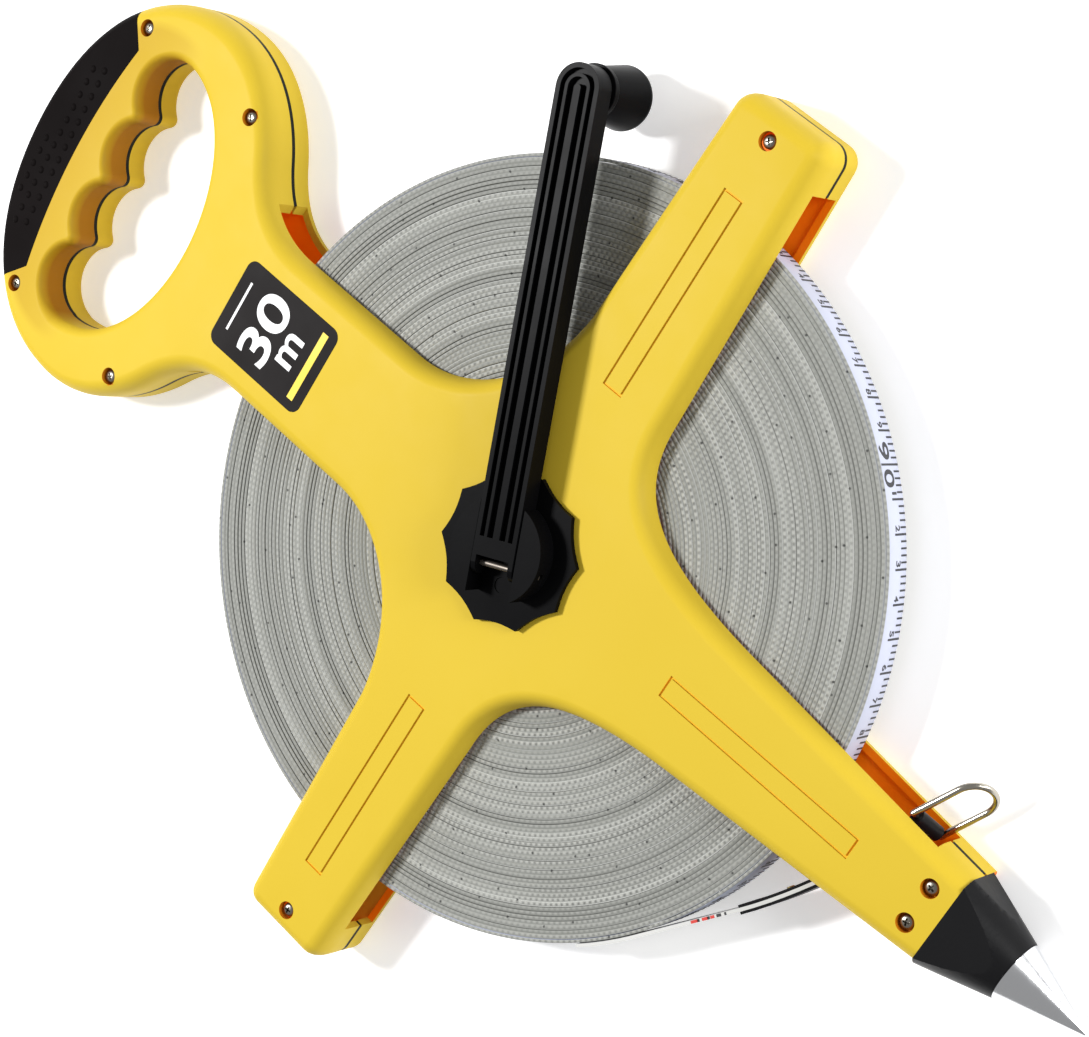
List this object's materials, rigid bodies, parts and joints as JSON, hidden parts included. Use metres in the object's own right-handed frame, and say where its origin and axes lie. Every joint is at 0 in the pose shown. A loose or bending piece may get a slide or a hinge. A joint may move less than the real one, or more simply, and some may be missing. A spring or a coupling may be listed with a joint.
{
  "type": "surveyor tape reel",
  "caption": "Long measuring tape wound on an open cross-shaped case with a looped hand grip, fold-out winding crank, steel ground spike and wire end ring.",
  "frame": {"origin": "on the reel's own axis, at the flat back of the case, which it lies on", "axes": "+Z along the reel axis from the flat back to the crank, the shortest extent; +X from the hand grip to the ground spike, the longest extent; +Y to the cross arm on the end ring's side"},
  "size_m": [0.4653, 0.3094, 0.0357],
  "materials": {
    "case_yellow": "moulded yellow plastic, satin on the faces and brighter on the soft edges",
    "case_screw": "plated pan-head cross-recess screws",
    "grip_rubber": "soft black rubber with two rows of raised dots",
    "seam_rubber": "thin black strip in the joint between the shells",
    "label_film": null,
    "rear_cap_plastic": "moulded yellow plastic",
    "holder_plastic": "black plastic, matt flats and a polished cone",
    "spike_steel": "polished steel",
    "nut_steel": "zinc plated",
    "tape_print": "white coated glass-fibre tape, printed in centimetres",
    "tab_plastic": "black coated fabric",
    "rivet_brass": "plain eyelets",
    "ring_wire": "nickel-plated wire",
    "coil_edge": "edges of the wound layers, grey with fine dark specks; printed face on the rim",
    "spool_plastic": "unseen drum, orange plastic",
    "washer_plastic": "natural slip washers",
    "hub_plastic": "polished black plastic",
    "hub_screw_steel": "zinc plated",
    "hinge_steel": "ground steel pin",
    "arm_plastic": "black plastic, glossy ribs with matt channels between",
    "knob_pin_steel": "zinc plated",
    "knob_plastic": "polished black plastic"
  },
  "bodies": {
    "case": {"front_shell": "case_yellow", "rear_shell": "case_yellow", "seam_strip": "seam_rubber", "grip_pad": "grip_rubber", "case_screws": "case_screw", "label": "label_film", "rear_cap": "rear_cap_plastic", "spike_holder": "holder_plastic", "spike": "spike_steel", "spike_nut": "nut_steel", "tape_tail": "tape_print", "end_tab": "tab_plastic", "tab_rivets": "rivet_brass"},
    "reel": {"tape_coil": "coil_edge", "spool_front_half": "spool_plastic", "spool_rear_half": "spool_plastic", "thrust_washers": "washer_plastic", "crank_hub": "hub_plastic", "hub_screw": "hub_screw_steel", "hub_washer": "nut_steel", "hinge_pin": "hinge_steel"},
    "crank": {"crank_arm": "arm_plastic", "knob_pin": "knob_pin_steel", "knob_washer": "nut_steel"},
    "knob": {"crank_knob": "knob_plastic"},
    "ring": {"end_ring": "ring_wire"}
  },
  "joints": [
    {"name": "reel_turn", "type": "hinge", "parent": "case", "child": "reel", "pos_m": [0, 0, 0.0112], "axis": [0, 0, 1], "range_deg": [-12, 47]},
    {"name": "crank_fold", "type": "hinge", "parent": "reel", "child": "crank", "pos_m": [0.00196, -0.00438, 0.032], "axis": [0.9128, 0.4083, 0], "range_deg": [0, 180]},
    {"name": "knob_spin", "type": "hinge", "parent": "crank", "child": "knob", "pos_m": [-0.05676, 0.12688, 0.017], "axis": [0, 0, 1], "continuous": true},
    {"name": "ring_swing", "type": "hinge", "parent": "case", "child": "ring", "pos_m": [0.149, 0.0157, 0.0112], "axis": [0.5782, -0.2801, -0.7663], "range_deg": [-40, 20]}
  ]
}
